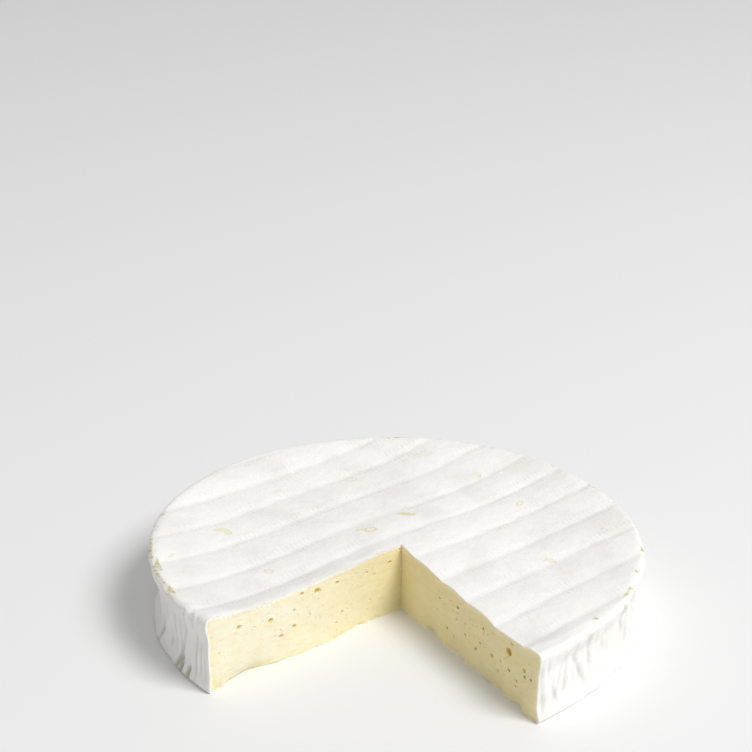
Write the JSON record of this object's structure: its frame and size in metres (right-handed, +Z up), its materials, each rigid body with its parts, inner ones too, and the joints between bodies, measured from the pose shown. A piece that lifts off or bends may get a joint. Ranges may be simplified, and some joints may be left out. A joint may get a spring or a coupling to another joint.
{
  "type": "camembert",
  "caption": "Round soft-ripened cheese with a ridged white rind and a wedge cut out, showing cream paste with small eyes.",
  "frame": {"origin": "middle of the bounding box on the flat underside", "axes": "+Z up, +X to the right and -Y towards the open side of the missing wedge"},
  "size_m": [0.1996, 0.1904, 0.0328],
  "materials": {
    "rind": "matt white bloomy rind, soft and finely wrinkled, over smooth cream-yellow paste on the cut faces",
    "paste": "soft cream-yellow cheese paste, slightly moist, with small round eyes"
  },
  "bodies": {
    "root": {"camembert": "rind"}
  },
  "joints": []
}
